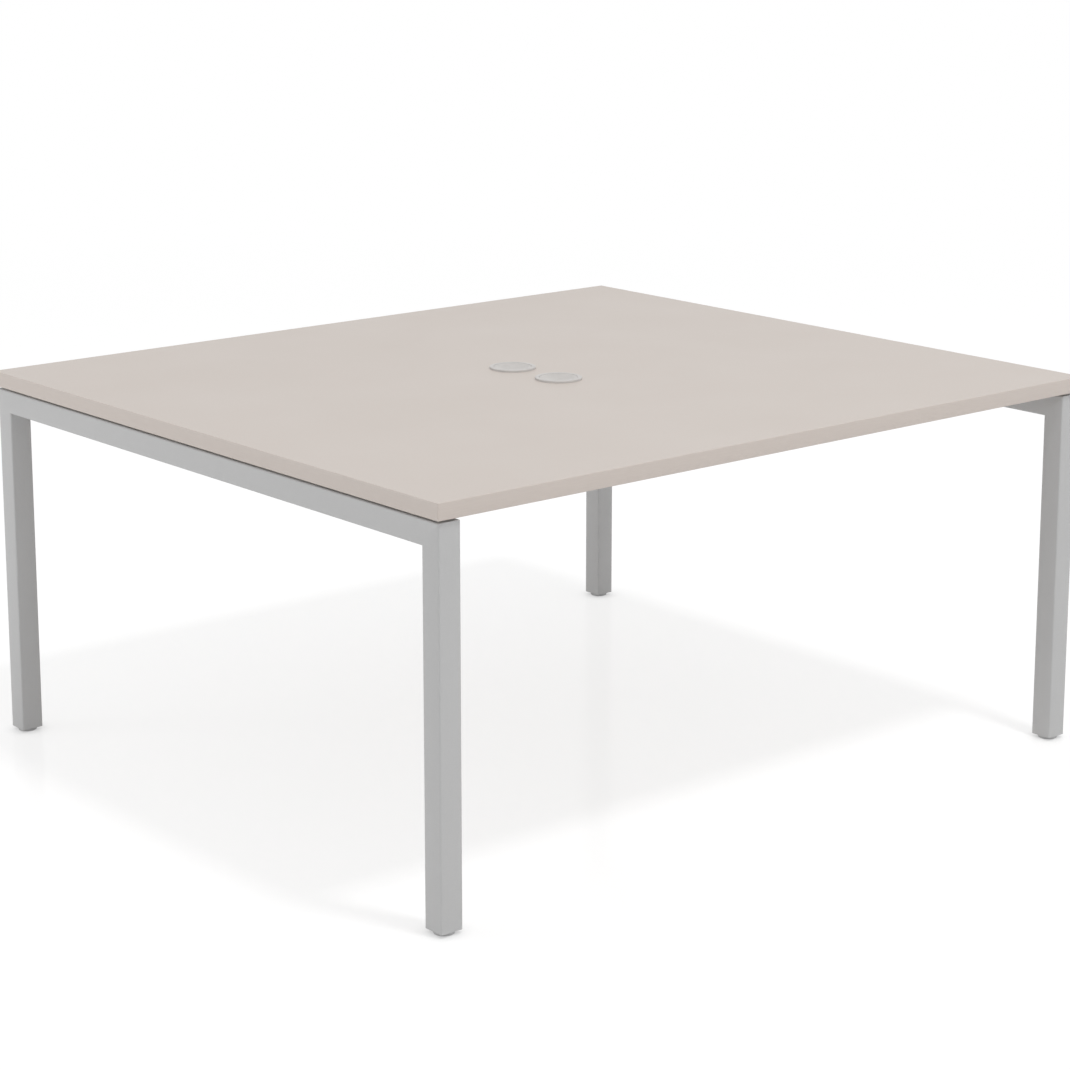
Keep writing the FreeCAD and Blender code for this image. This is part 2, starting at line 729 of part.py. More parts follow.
def make_port_cap(label, y):
    """One port cap: a dished disc that turns in the sleeve, with a notch for the cables."""
    body = new_node(label)
    section = sketch_on(body, "XZ_Plane")
    corners = [
        ("0", "-cap_dish"),
        (f"{CAP_RADIUS} - cap_rim", "cap_rise"),
        (CAP_RADIUS, "cap_rise"),
        (CAP_RADIUS, "-ledge_drop"),
        (f"{BORE_RADIUS} - cap_gap", "-ledge_drop"),
        ("0", "-(cap_dish + cap_wall)"),
    ]
    add_outline(section, corners, {0: ("0", 1), 4: ("0", -1)})
    turn_solid(body, section)
    round_rim(body, "cap_round", CAP_RADIUS, "cap_rise")
    notch = sketch_on(body, "XY_Plane")
    half = "(notch_width / 2)"
    corners = [
        ("notch_centre", half),
        ("notch_centre", f"-{half}"),
        (f"{CAP_RADIUS} + overrun", f"-{half}"),
        (f"{CAP_RADIUS} + overrun", half),
    ]
    add_outline(notch, corners, {0: ("notch_centre", 1)})
    cut(body, notch, side="Symmetric")
    place(body, "0", y, "table_height", TOWARDS_FRONT)


def make_table():
    """Make every piece of the table where it belongs."""
    make_top_panel()
    make_bands()
    for side, side_name in zip(BOTH, ("left", "right")):
        make_crossbar(f"crossbar_{side_name}", side)
        for end, end_name in zip(BOTH, ("front", "rear")):
            corner = f"{end_name}_{side_name}"
            x = f"{side} * {BAR_CENTRE_X}"
            y = f"{end} * {LEG_CENTRE_Y}"
            make_leg(f"leg_{corner}", side, end)
            make_leg_plug(f"leg_plug_{corner}", x, y)
            make_foot_stud(f"foot_stud_{corner}", x, y)
            make_foot_pad(f"foot_pad_{corner}", x, y)
            make_beam_plate(f"beam_plate_{corner}", side, end)
    for end, end_name in zip(BOTH, ("front", "rear")):
        make_beam(f"beam_{end_name}", end)
        make_port_sleeve(f"port_sleeve_{end_name}", f"{end} * port_offset")
        make_port_cap(f"port_cap_{end_name}", f"{end} * port_offset")
    make_beam_fasteners()
    make_top_fasteners()
    document.recompute()


def check_table():
    """Stop if any object failed or any node has no sound shape."""
    for thing in document.Objects:
        if {"Invalid", "Error"} & set(thing.State):
            raise RuntimeError(f"{thing.Label} did not recompute: {thing.State}")
    for node in nodes:
        if node.Shape.isNull() or not node.Shape.isValid():
            raise RuntimeError(f"{node.Label} has no valid shape")


def write_parts():
    """Write each node to a file of its own."""
    os.makedirs("parts", exist_ok=True)
    for node in nodes:
        node.Shape.exportStep(f"parts/{node.Label}.step")
        box = node.Shape.BoundBox
        print(f"{node.Label}: {len(node.Shape.Solids)} solid, volume {node.Shape.Volume:.0f},"
              f" x {box.XMin:.1f} to {box.XMax:.1f}, y {box.YMin:.1f} to {box.YMax:.1f},"
              f" z {box.ZMin:.1f} to {box.ZMax:.1f}")


make_table()
check_table()
write_parts()
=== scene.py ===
# %% [markdown]
# # An office table, dressed for its portrait
# The table is a pale board on two portal frames of square steel tube. The solids come from the
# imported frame, at their real size and place, in metres. This lesson gives every piece its finish,
# models again the pieces whose edges catch the light, and sets up a studio around them.

# %% Load the frame
import json
import math

import bmesh
import bpy
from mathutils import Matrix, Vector


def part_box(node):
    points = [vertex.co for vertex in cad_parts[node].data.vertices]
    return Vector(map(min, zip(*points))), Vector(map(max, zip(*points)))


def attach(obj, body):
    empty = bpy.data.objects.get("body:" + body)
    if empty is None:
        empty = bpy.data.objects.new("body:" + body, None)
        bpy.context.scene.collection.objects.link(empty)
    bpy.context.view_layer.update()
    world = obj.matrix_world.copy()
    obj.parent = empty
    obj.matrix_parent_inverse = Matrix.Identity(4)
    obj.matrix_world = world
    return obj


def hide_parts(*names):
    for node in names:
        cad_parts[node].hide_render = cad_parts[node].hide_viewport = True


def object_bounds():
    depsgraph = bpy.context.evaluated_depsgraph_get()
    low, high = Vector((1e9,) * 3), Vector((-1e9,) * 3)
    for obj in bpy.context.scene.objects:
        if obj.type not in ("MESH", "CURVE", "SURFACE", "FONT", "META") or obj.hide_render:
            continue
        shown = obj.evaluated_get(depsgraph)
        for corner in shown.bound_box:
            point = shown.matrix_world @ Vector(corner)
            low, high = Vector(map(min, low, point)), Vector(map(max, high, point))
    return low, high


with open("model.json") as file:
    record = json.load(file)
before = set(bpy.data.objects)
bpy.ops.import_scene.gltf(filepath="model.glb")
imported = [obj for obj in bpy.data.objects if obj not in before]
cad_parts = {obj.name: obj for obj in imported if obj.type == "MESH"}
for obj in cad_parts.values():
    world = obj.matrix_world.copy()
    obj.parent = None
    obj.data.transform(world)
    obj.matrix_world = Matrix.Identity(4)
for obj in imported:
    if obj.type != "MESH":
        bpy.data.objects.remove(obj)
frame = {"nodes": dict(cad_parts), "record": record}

cad_low, cad_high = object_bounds()
middle = (cad_low + cad_high) / 2
print("nodes:", len(frame["nodes"]), "size:", [round(length, 3) for length in cad_high - cad_low])

# %% [markdown]
# ## The camera
# The photograph looks down on one corner of the table from standing height, through a long lens.
# Its upright edges are parallel, as a shift lens draws them. The lens could be shifted all the way
# and held level, but then the table leaves the picture as soon as the camera moves to another
# side. So the camera is tilted, and shifted only a little: the legs lean by a few pixels, and
# the table is framed well from everywhere.

# %% Set up the camera
CAMERA_PLACE = Vector((-3.381, -4.014, 1.784))
CAMERA_BEARING = math.radians(49.9)
CAMERA_TILT = math.radians(11.95)
CAMERA_LENS = 91.6
CAMERA_SHIFT = -0.12
QUARTER_TURN = math.pi / 2


def start_clean():
    """Leave nothing selected."""
    bpy.ops.object.select_all(action="DESELECT")


start_clean()
bpy.ops.object.camera_add(location=CAMERA_PLACE)
camera = bpy.context.object
camera.rotation_euler = (QUARTER_TURN - CAMERA_TILT, 0, CAMERA_BEARING - QUARTER_TURN)
camera.data.lens = CAMERA_LENS
camera.data.shift_y = CAMERA_SHIFT
bpy.context.scene.camera = camera
print("camera to table:", round((CAMERA_PLACE - middle).length, 2), "m")

# %% [markdown]
# ## The room
# A picture for a catalogue is lit almost without shadows, from a white room. The room could be
# built from walls and lamps. A white world does the same with less noise: it lights the table
# gently, and where the camera or a reflection looks straight at it, it is plain white.

# %% Paint the room white
ROOM_LIGHT = 0.63
WHITE = (1, 1, 1, 1)


def add_node(tree, kind, inputs=None, **settings):
    """Add a node, set its properties, and set its inputs or link them to other nodes."""
    node = tree.nodes.new(kind)
    for name, setting in settings.items():
        setattr(node, name, setting)
    for name, source in (inputs or {}).items():
        if isinstance(source, bpy.types.NodeSocket):
            tree.links.new(source, node.inputs[name])
        else:
            node.inputs[name].default_value = source
    return node


def add_seen_directly(tree):
    """Give 1 to rays that show what they meet: from the camera, off a mirror and through glass."""
    path = add_node(tree, "ShaderNodeLightPath").outputs
    inputs = {0: path["Is Camera Ray"], 1: path["Is Glossy Ray"]}
    plain = add_node(tree, "ShaderNodeMath", inputs, operation="MAXIMUM")
    inputs = {0: plain.outputs[0], 1: path["Is Transmission Ray"]}
    return add_node(tree, "ShaderNodeMath", inputs, operation="MAXIMUM").outputs[0]


room = bpy.data.worlds.new("white_room")
room.use_nodes = True
room.node_tree.nodes.clear()
lights = add_node(room.node_tree, "ShaderNodeBackground", {"Color": WHITE, "Strength": ROOM_LIGHT})
shows = add_node(room.node_tree, "ShaderNodeBackground", {"Color": WHITE})
blend_inputs = {0: add_seen_directly(room.node_tree), 1: lights.outputs[0], 2: shows.outputs[0]}
blend = add_node(room.node_tree, "ShaderNodeMixShader", blend_inputs)
add_node(room.node_tree, "ShaderNodeOutputWorld", {"Surface": blend.outputs[0]})
bpy.context.scene.world = room
bpy.context.scene.view_settings.view_transform = "Standard"
print("room light:", ROOM_LIGHT)

# %% [markdown]
# ## The floor
# The table stands on white paper that reaches far behind it. Plain paper comes out grey where the
# lamps fade, and more light would bleach the table. So this paper glows, only for rays that show
# it: far from the table all its white is glow, and near the table a good part of it is real light,
# which the table's shadow takes away. Within three centimetres of a foot the glow weakens too,
# because the foot would stand in the way of the light that the glow stands for. A little gloss
# gives the faint mirror image of the rear right leg that the photo shows in the shadow.

# %% Lay the paper
FLOOR_SIZE = 120
PAPER_WHITE = (0.9, 0.9, 0.9, 1)
PAPER_SHADE = (0.36, 0.36, 0.36, 1)
PAPER_GLOW = 0.677
PAPER_GLOSS = (0.045, 0.045, 0.045, 1)
PAPER_ROUGHNESS = 0.12
SHADOW_REACH = 3.0
GLOW_REACH = 7.0
FOOT_GLOW = 0.42
FOOT_REACH = 0.03
FOOT_RAYS = 4


def mix_paper():
    """White paper that takes a shadow near the table and is pure white far from it."""
    paper = bpy.data.materials.new("white_paper")
    paper.use_nodes = True
    tree = paper.node_tree
    tree.nodes.clear()
    place = add_node(tree, "ShaderNodeTexCoord").outputs["Object"]
    away = add_node(tree, "ShaderNodeVectorMath", {0: place}, operation="LENGTH").outputs["Value"]
    inputs = {"Value": away, "From Min": SHADOW_REACH, "From Max": GLOW_REACH}
    far = add_node(tree, "ShaderNodeMapRange", inputs).outputs[0]
    shade = add_node(tree, "ShaderNodeBsdfDiffuse", {"Color": PAPER_SHADE})
    inputs = {"Distance": FOOT_REACH}
    clear = add_node(tree, "ShaderNodeAmbientOcclusion", inputs, samples=FOOT_RAYS).outputs["AO"]
    inputs = {"Value": clear, "To Min": FOOT_GLOW, "To Max": PAPER_GLOW}
    strength = add_node(tree, "ShaderNodeMapRange", inputs).outputs[0]
    glow = add_node(tree, "ShaderNodeEmission", {"Color": WHITE, "Strength": strength})
    lit = add_node(tree, "ShaderNodeAddShader", {0: shade.outputs[0], 1: glow.outputs[0]})
    inputs = {"Color": PAPER_GLOSS, "Roughness": PAPER_ROUGHNESS}
    gloss = add_node(tree, "ShaderNodeBsdfGlossy", inputs)
    close = add_node(tree, "ShaderNodeAddShader", {0: lit.outputs[0], 1: gloss.outputs[0]})
    white = add_node(tree, "ShaderNodeEmission", {"Color": WHITE})
    seen = add_node(tree, "ShaderNodeMixShader", {0: far, 1: close.outputs[0], 2: white.outputs[0]})
    plain = add_node(tree, "ShaderNodeBsdfDiffuse", {"Color": PAPER_WHITE})
    inputs = {0: add_seen_directly(tree), 1: plain.outputs[0], 2: seen.outputs[0]}
    blend = add_node(tree, "ShaderNodeMixShader", inputs)
    add_node(tree, "ShaderNodeOutputMaterial", {"Surface": blend.outputs[0]})
    return paper


start_clean()
bpy.ops.mesh.primitive_plane_add(size=FLOOR_SIZE, location=(0, 0, cad_low.z))
floor = bpy.context.object
floor.name = "paper_floor"
floor.data.materials.append(mix_paper())
print("floor:", FLOOR_SIZE, "m wide")

# %% [markdown]
# ## The lamps
# The shadow on the floor tells where the main lamp hangs: high up, in front of the table and a
# little to the right, about a metre wide, because the shadow's edge is soft over some 80 mm. The
# left crossbar grows brighter towards the rear, so a low wide lamp stands behind it on the left.
# A third one stands far in front, and keeps the faces that look that way from going dull.

# %% Hang the lamps
LAMPS = {
    "main_lamp": {"place": Vector((0.45, -4.0, 9.35)), "power": 310, "size": 1.1},
    "left_lamp": {"place": Vector((-4.5, 3.0, 1.2)), "power": 36, "size": 2.0},
    "front_lamp": {"place": Vector((1.0, -14.0, 1.2)), "power": 110, "size": 5.0},
}
for name, lamp in LAMPS.items():
    start_clean()
    bpy.ops.object.light_add(type="AREA", location=lamp["place"])
    light = bpy.context.object
    light.name = name
    light.data.energy = lamp["power"]
    light.data.size = lamp["size"]
    light.rotation_euler = (middle - lamp["place"]).to_track_quat("-Z", "Y").to_euler()
    print(name, lamp["power"], "W")

# %% [markdown]
# ## Finishes
# Every finish here starts the same way: a shader that reads the object's own coordinates, in
# metres, so that a grain of one millimetre is one millimetre on every piece. Noise gives the small
# differences in tone, gloss and height that tell paint from plastic and plastic from board.

# %% Helpers for finishes
FAINT_LOW = 0.3
FAINT_HIGH = 0.7
SOFT_DETAIL = 2
FINE_DETAIL = 3
FINEST_DETAIL = 4
finishes = {}


def start_finish(slot):
    """Start the finish of one material slot, and return its tree, coordinates and shader."""
    finish = bpy.data.materials.new(f"{slot}_finish")
    finish.use_nodes = True
    finishes[slot] = finish
    tree = finish.node_tree
    tree.nodes.clear()
    place = add_node(tree, "ShaderNodeTexCoord").outputs["Object"]
    shader = add_node(tree, "ShaderNodeBsdfPrincipled")
    add_node(tree, "ShaderNodeOutputMaterial", {"Surface": shader.outputs[0]})
    return tree, place, shader


def add_grain(tree, place, size, detail=SOFT_DETAIL):
    """Cloudy noise whose spots are about the given size across."""
    inputs = {"Vector": place, "Scale": 1 / size, "Detail": detail}
    return add_node(tree, "ShaderNodeTexNoise", inputs).outputs[0]


def add_tones(tree, pattern, dark, light):
    """Colour a pattern from its dark tone to its light one."""
    ramp = add_node(tree, "ShaderNodeValToRGB", {"Fac": pattern})
    ends = zip(ramp.color_ramp.elements, (FAINT_LOW, FAINT_HIGH), (dark, light))
    for end, position, tone in ends:
        end.position = position
        end.color = (*tone, 1)
    return ramp.outputs[0]


def add_range(tree, pattern, low, high):
    """Spread a pattern evenly between two values."""
    inputs = {
        "Value": pattern, "From Min": FAINT_LOW, "From Max": FAINT_HIGH,
        "To Min": low, "To Max": high,
    }
    return add_node(tree, "ShaderNodeMapRange", inputs).outputs[0]


def add_relief(tree, pattern, depth):
    """Raise a surface by a pattern."""
    inputs = {"Height": pattern, "Distance": depth}
    return add_node(tree, "ShaderNodeBump", inputs).outputs[0]


def connect(tree, shader, **sources):
    """Link sources to the shader's inputs, whose names are written with underscores."""
    for name, source in sources.items():
        tree.links.new(source, shader.inputs[name.replace("_", " ")])


print("helpers ready")

# %% [markdown]
# ## Board and edge band
# The board is chipboard faced with melamine paper in a plain warm grey. It has no grain to show:
# only the faint pearl of the pressed paper, a fraction of a millimetre deep, and slow clouds in
# the gloss. The edge band is a plastic strip of the same colour, a shade darker, with very fine
# lines along it from the roller that pulled it. Lines that vary only with height run along every
# edge, whichever way the edge lies.

# %% Mix the board and band finishes
BOARD_DARK = (0.575, 0.515, 0.472)
BOARD_LIGHT = (0.612, 0.552, 0.507)
BOARD_ROUGHNESS = (0.44, 0.5)
BOARD_CLOUD_SIZE = 0.25
PEARL_SIZE = 0.0011
PEARL_DEPTH = 0.00004
BAND_DARK = (0.584, 0.520, 0.476)
BAND_LIGHT = (0.612, 0.547, 0.502)
BAND_ROUGHNESS = (0.38, 0.46)
BAND_CLOUD_SIZE = 0.06
BAND_LINE_WIDTH = 0.0007
BAND_LINE_DEPTH = 0.00003
BAND_LINE_STRETCH = (0.02, 0.02, 1)


def mix_board_finish():
    """Warm grey melamine with a pearl surface."""
    tree, place, shader = start_finish("board")
    clouds = add_grain(tree, place, BOARD_CLOUD_SIZE)
    pearl = add_grain(tree, place, PEARL_SIZE, FINEST_DETAIL)
    tone = add_tones(tree, pearl, BOARD_DARK, BOARD_LIGHT)
    roughness = add_range(tree, clouds, *BOARD_ROUGHNESS)
    relief = add_relief(tree, pearl, PEARL_DEPTH)
    connect(tree, shader, Base_Color=tone, Roughness=roughness, Normal=relief)


def mix_band_finish():
    """Plastic strip in the board's colour, with faint lines along it."""
    tree, place, shader = start_finish("edge_band")
    inputs = {"Vector": place, "Scale": BAND_LINE_STRETCH}
    stretched = add_node(tree, "ShaderNodeMapping", inputs).outputs[0]
    lines = add_grain(tree, stretched, BAND_LINE_WIDTH, FINE_DETAIL)
    clouds = add_grain(tree, place, BAND_CLOUD_SIZE)
    tone = add_tones(tree, lines, BAND_DARK, BAND_LIGHT)
    roughness = add_range(tree, clouds, *BAND_ROUGHNESS)
    relief = add_relief(tree, lines, BAND_LINE_DEPTH)
    connect(tree, shader, Base_Color=tone, Roughness=roughness, Normal=relief)


mix_board_finish()
mix_band_finish()
print("finishes:", list(finishes))

# %% [markdown]
# ## Powder-coated frame
# The tubes are coated with silver-grey powder that is melted in an oven. Close up, it has the skin
# of an orange, with waves of about a millimetre, and fine aluminium flakes a quarter of that
# size. Both are too small to see from across a room, where the frame looks plain satin grey.

# %% Mix the frame finish
FRAME_DARK = (0.485, 0.485, 0.485)
FRAME_LIGHT = (0.535, 0.535, 0.535)
FRAME_ROUGHNESS = (0.4, 0.47)
FRAME_CLOUD_SIZE = 0.15
FLAKE_SIZE = 0.0003
WAVE_SIZE = 0.0012
WAVE_DEPTH = 0.00006


def add_flakes(tree, place, size):
    """Small flat cells, each with a tone of its own."""
    cells = add_node(tree, "ShaderNodeTexVoronoi", {"Vector": place, "Scale": 1 / size})
    return add_node(tree, "ShaderNodeSeparateColor", {"Color": cells.outputs["Color"]}).outputs[0]


def mix_frame_finish():
    """Silver-grey powder coat."""
    tree, place, shader = start_finish("frame_paint")
    flakes = add_flakes(tree, place, FLAKE_SIZE)
    waves = add_grain(tree, place, WAVE_SIZE)
    clouds = add_grain(tree, place, FRAME_CLOUD_SIZE)
    tone = add_tones(tree, flakes, FRAME_DARK, FRAME_LIGHT)
    roughness = add_range(tree, clouds, *FRAME_ROUGHNESS)
    relief = add_relief(tree, waves, WAVE_DEPTH)
    connect(tree, shader, Base_Color=tone, Roughness=roughness, Normal=relief)


mix_frame_finish()
print("finishes:", list(finishes))

# %% [markdown]
# ## Moulded plastics
# The cable ports are moulded in silver-grey plastic, and the feet in a plainer grey. A mould is
# spark-eroded to give its parts a fine matt texture, like very fine leather. The plugs in the legs
# are black nylon. One function mixes all three, because only their tones and roughness differ.

# %% Mix the plastic finishes
PLASTICS = {
    "port_plastic": {
        "dark": (0.53, 0.508, 0.49), "light": (0.58, 0.557, 0.538), "roughness": (0.36, 0.44),
    },
    "foot_plastic": {
        "dark": (0.5, 0.5, 0.5), "light": (0.55, 0.55, 0.55), "roughness": (0.4, 0.5),
    },
    "black_nylon": {
        "dark": (0.018, 0.018, 0.019), "light": (0.03, 0.03, 0.031), "roughness": (0.42, 0.54),
    },
}
PLASTIC_CLOUD_SIZE = 0.02
SPARK_SIZE = 0.0007
SPARK_DEPTH = 0.00004


def mix_plastic_finish(slot, dark, light, roughness):
    """Moulded plastic with a spark-eroded surface."""
    tree, place, shader = start_finish(slot)
    sparks = add_grain(tree, place, SPARK_SIZE, FINEST_DETAIL)
    clouds = add_grain(tree, place, PLASTIC_CLOUD_SIZE)
    tone = add_tones(tree, clouds, dark, light)
    relief = add_relief(tree, sparks, SPARK_DEPTH)
    matt = add_range(tree, sparks, *roughness)
    connect(tree, shader, Base_Color=tone, Roughness=matt, Normal=relief)


for slot, recipe in PLASTICS.items():
    mix_plastic_finish(slot, **recipe)
print("finishes:", list(finishes))

# %% [markdown]
# ## Zinc and brass
# Bolts, washers and studs are steel with a thin coat of zinc, which dries in small cloudy patches.
# The threaded inserts are turned from brass, which dulls in patches too. Both are metals, so their
# colour is in their reflection, and the patches change its tone and make it sharper or softer.

# %% Mix the metal finishes
METALS = {
    "zinc_steel": {
        "dark": (0.50, 0.51, 0.53), "light": (0.66, 0.67, 0.68), "roughness": (0.3, 0.48),
    },
    "brass": {
        "dark": (0.52, 0.36, 0.15), "light": (0.68, 0.49, 0.22), "roughness": (0.24, 0.36),
    },
}
PATCH_SIZE = 0.004
SCRATCH_SIZE = 0.0004
SCRATCH_DEPTH = 0.00001


def mix_metal_finish(slot, dark, light, roughness):
    """Bare or plated metal with cloudy patches and fine scratches."""
    tree, place, shader = start_finish(slot)
    patches = add_grain(tree, place, PATCH_SIZE, FINE_DETAIL)
    scratches = add_grain(tree, place, SCRATCH_SIZE, FINE_DETAIL)
    shader.inputs["Metallic"].default_value = 1
    tone = add_tones(tree, patches, dark, light)
    relief = add_relief(tree, scratches, SCRATCH_DEPTH)
    dull = add_range(tree, patches, *roughness)
    connect(tree, shader, Base_Color=tone, Roughness=dull, Normal=relief)


for slot, recipe in METALS.items():
    mix_metal_finish(slot, **recipe)
print("finishes:", list(finishes))

# %% [markdown]
# ## Finishes on the solids
# The record says which finish each piece takes. The solids whose shape is right keep it, and only
# their material slots are filled. The pieces that are modelled again below take the same finishes.

# %% Give every solid its finish
for row in frame["record"]["subparts"]:
    for material_slot in frame["nodes"][row["node"]].material_slots:
        material_slot.material = finishes[row["material_slot"]]

# %% [markdown]
# ## Working as by hand
# The pieces below are modelled with the operators that a person would use: add a primitive, open
# it in edit mode, select, extrude, bevel, spin. An operator acts on all that is selected, so each
# helper first deselects everything, and then picks corners and edges by where they are.

# %% Helpers for modelling
TOUCH = 0.00001


def choose(*pieces):
    """Select pieces, and make the first one active."""
    start_clean()
    for piece in pieces:
        piece.select_set(True)
    bpy.context.view_layer.objects.active = pieces[0]


def settle(name):
    """Name the piece that was just added, and move its place, turn and size into its mesh."""
    piece = bpy.context.object
    piece.name = name
    bpy.ops.object.transform_apply(location=True, rotation=True, scale=True)
    return piece


def open_mesh(piece, kind="EDGE"):
    """Open a piece in edit mode, with nothing selected."""
    choose(piece)
    bpy.ops.object.mode_set(mode="EDIT")
    bpy.ops.mesh.select_mode(type=kind)
    bpy.ops.mesh.select_all(action="DESELECT")


def close_mesh():
    """Go back to object mode."""
    bpy.ops.object.mode_set(mode="OBJECT")


def near(first, second):
    """Tell whether two lengths are the same."""
    return abs(first - second) < TOUCH


def select_where(piece, kind, wanted, how=all):
    """Select the verts or edges of an open mesh of which all corners, or any, pass a test."""
    mesh = bmesh.from_edit_mesh(piece.data)
    for element in getattr(mesh, kind):
        corners = [element] if kind == "verts" else element.verts
        if how(wanted(corner.co) for corner in corners):
            element.select_set(True)
    mesh.select_flush_mode()
    bmesh.update_edit_mesh(piece.data)


print("helpers ready")

# %% [markdown]
# ## Copies and hand-over
# The table is the same when it is turned half round, and its feet, legs and ports are alike. So each
# kind of piece is modelled once and copied, and every copy has a mesh of its own, because its place
# goes into its mesh. A finished piece is then smoothed where its faces meet at a small angle, gets
# its finish, and rides on its body, while the solid it stands in for is hidden.

# %% Helpers for finished pieces
SMOOTH_ANGLE = math.radians(32)
STRAIGHT = (0, 0, 0)
ABOUT_FACE = (0, 0, math.pi)


def copy_of(pattern, name, place=STRAIGHT, turn=STRAIGHT):
    """A copy with its own mesh, turned and then moved to a place."""
    choose(pattern)
    bpy.ops.object.duplicate()
    bpy.context.object.location = place
    bpy.context.object.rotation_euler = turn
    return settle(name)


def throw_away(piece):
    """Remove a pattern or a tool that has done its work."""
    bpy.data.objects.remove(piece)


def hand_over(piece, body, slot, *nodes):
    """Smooth a piece, give it its finish, and let it ride on its body in place of its nodes."""
    choose(piece)
    bpy.ops.object.shade_smooth_by_angle(angle=SMOOTH_ANGLE)
    piece.data.materials.clear()
    piece.data.materials.append(finishes[slot])
    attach(piece, body)
    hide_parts(*nodes)
    print(piece.name, len(piece.data.polygons), "faces")


def hand_over_both(piece, slot, node, other_name, other_node):
    """Hand over a piece of the table, and its copy on the opposite side."""
    other = copy_of(piece, other_name, turn=ABOUT_FACE)
    hand_over(piece, "table", slot, node)
    hand_over(other, "table", slot, other_node)


print("helpers ready")

# %% [markdown]
# ## Edge bands
# Each band is a strip two millimetres thick, glued on and then rounded over along its outer edges
# by a cutter. The front and rear bands cover the ends of the other two, so their ends are rounded
# as well. A cube at the size of the strip is the start, and a bevel on the edges that the cutter
# reaches makes the rounding that catches the light along the board.

# %% Round over the edge bands
BAND_ROUND = 0.0015
BAND_STEPS = 5
OUTWARD = {"front": Vector((0, -1, 0)), "left": Vector((-1, 0, 0))}
OPPOSITE = {"front": "rear", "left": "right"}


def model_band(side):
    """One edge band: a strip whose outer edges are rounded over."""
    low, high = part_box(f"edge_band_{side}")
    outward = OUTWARD[side]
    outer = max(low.dot(outward), high.dot(outward))
    start_clean()
    bpy.ops.mesh.primitive_cube_add(size=1, location=(low + high) / 2, scale=high - low)
    band = settle(f"band_{side}")
    covers_ends = any if side == "front" else all
    open_mesh(band)
    for level in (low.z, high.z):
        select_where(
            band, "edges",
            lambda spot: near(spot.dot(outward), outer) and near(spot.z, level),
            covers_ends,
        )
    bpy.ops.mesh.bevel(offset=BAND_ROUND, segments=BAND_STEPS, affect="EDGES")
    close_mesh()
    return band


for side, other_side in OPPOSITE.items():
    names = (f"edge_band_{side}", f"band_{other_side}", f"edge_band_{other_side}")
    hand_over_both(model_band(side), "edge_band", *names)

# %% [markdown]
# ## Square tubes
# Legs, crossbars and beams are steel tube with rounded edges. A cube with bevelled edges would do
# for the outside, but the tubes are open where they are drilled and at their ends, so they get a
# wall: a square with rounded corners, inset by the wall, opened in the middle and extruded.

# %% A helper for tubes
TUBE_WALL = 0.002
ROUND_STEPS = 5
QUARTER_ABOUT_X = (QUARTER_TURN, 0, 0)
QUARTER_ABOUT_Y = (0, QUARTER_TURN, 0)
AXES = {
    "x": {"along": Vector((1, 0, 0)), "across": "zy", "turn": QUARTER_ABOUT_Y},
    "y": {"along": Vector((0, 1, 0)), "across": "xz", "turn": QUARTER_ABOUT_X},
    "z": {"along": Vector((0, 0, 1)), "across": "xy", "turn": STRAIGHT},
}


def point_outwards():
    """Close the seams of an open mesh and turn its faces outwards."""
    bpy.ops.mesh.select_all(action="SELECT")
    bpy.ops.mesh.remove_doubles(threshold=TOUCH)
    bpy.ops.mesh.normals_make_consistent(inside=False)


def model_tube(name, low, high, axis, corner):
    """A tube that fills a box along one axis, with rounded corners."""
    size = high - low
    along, across, turn = AXES[axis].values()
    stretch = along * size.dot(along)
    start_clean()
    bpy.ops.mesh.primitive_plane_add(size=1, location=(low + high - stretch) / 2, rotation=turn)
    wide, tall = (getattr(size, letter) for letter in across)
    bpy.context.object.scale = (wide, tall, 1)
    tube = settle(name)
    open_mesh(tube, "VERT")
    bpy.ops.mesh.select_all(action="SELECT")
    bpy.ops.mesh.bevel(offset=corner, segments=ROUND_STEPS, affect="VERTICES")
    bpy.ops.mesh.select_mode(type="FACE")
    bpy.ops.mesh.select_all(action="SELECT")
    bpy.ops.mesh.inset(thickness=TUBE_WALL)
    bpy.ops.mesh.delete(type="FACE")
    bpy.ops.mesh.select_all(action="SELECT")
    bpy.ops.mesh.extrude_region_move(TRANSFORM_OT_translate={"value": stretch})
    point_outwards()
    close_mesh()
    return tube


print("helper ready")

# %% [markdown]
# ## Legs
# The upper end of each leg is sawn at 45 degrees, welded to the crossbar and ground flush, so no
# seam shows. The saw cut runs from the outer top edge down to the inner corner. One leg is sawn on
# its own axis, and set down four times: the rear ones are turned about.

# %% Saw the legs
TUBE_ROUND = 0.003
ENDS = ("front", "rear")
SIDES = ("left", "right")
CORNERS = [f"{end}_{side}" for side in SIDES for end in ENDS]


def floor_point(node):
    """Where the upright axis through the middle of a node meets the floor."""
    low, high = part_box(node)
    return Vector(((low.x + high.x) / 2, (low.y + high.y) / 2, cad_low.z))


def saw(tube, edge, beyond):
    """Saw off what lies beyond a slanted plane through an edge, and close the sawn wall."""
    open_mesh(tube)
    bpy.ops.mesh.select_all(action="SELECT")
    bpy.ops.mesh.bisect(plane_co=edge, plane_no=beyond, clear_outer=True)
    bpy.ops.mesh.bridge_edge_loops()
    point_outwards()
    close_mesh()


def model_leg():
    """A front leg that stands on the origin."""
    low, high = (corner - floor_point("leg_front_left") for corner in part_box("leg_front_left"))
    leg = model_tube("leg", low, high, "z", TUBE_ROUND)
    saw(leg, Vector((0, low.y, high.z)), (0, 1, 1))
    return leg


leg = model_leg()
for corner in CORNERS:
    place = floor_point(f"leg_{corner}")
    turn = ABOUT_FACE if place.y > 0 else STRAIGHT
    copy = copy_of(leg, f"leg_{corner}_tube", place, turn)
    hand_over(copy, "table", "frame_paint", f"leg_{corner}")
throw_away(leg)

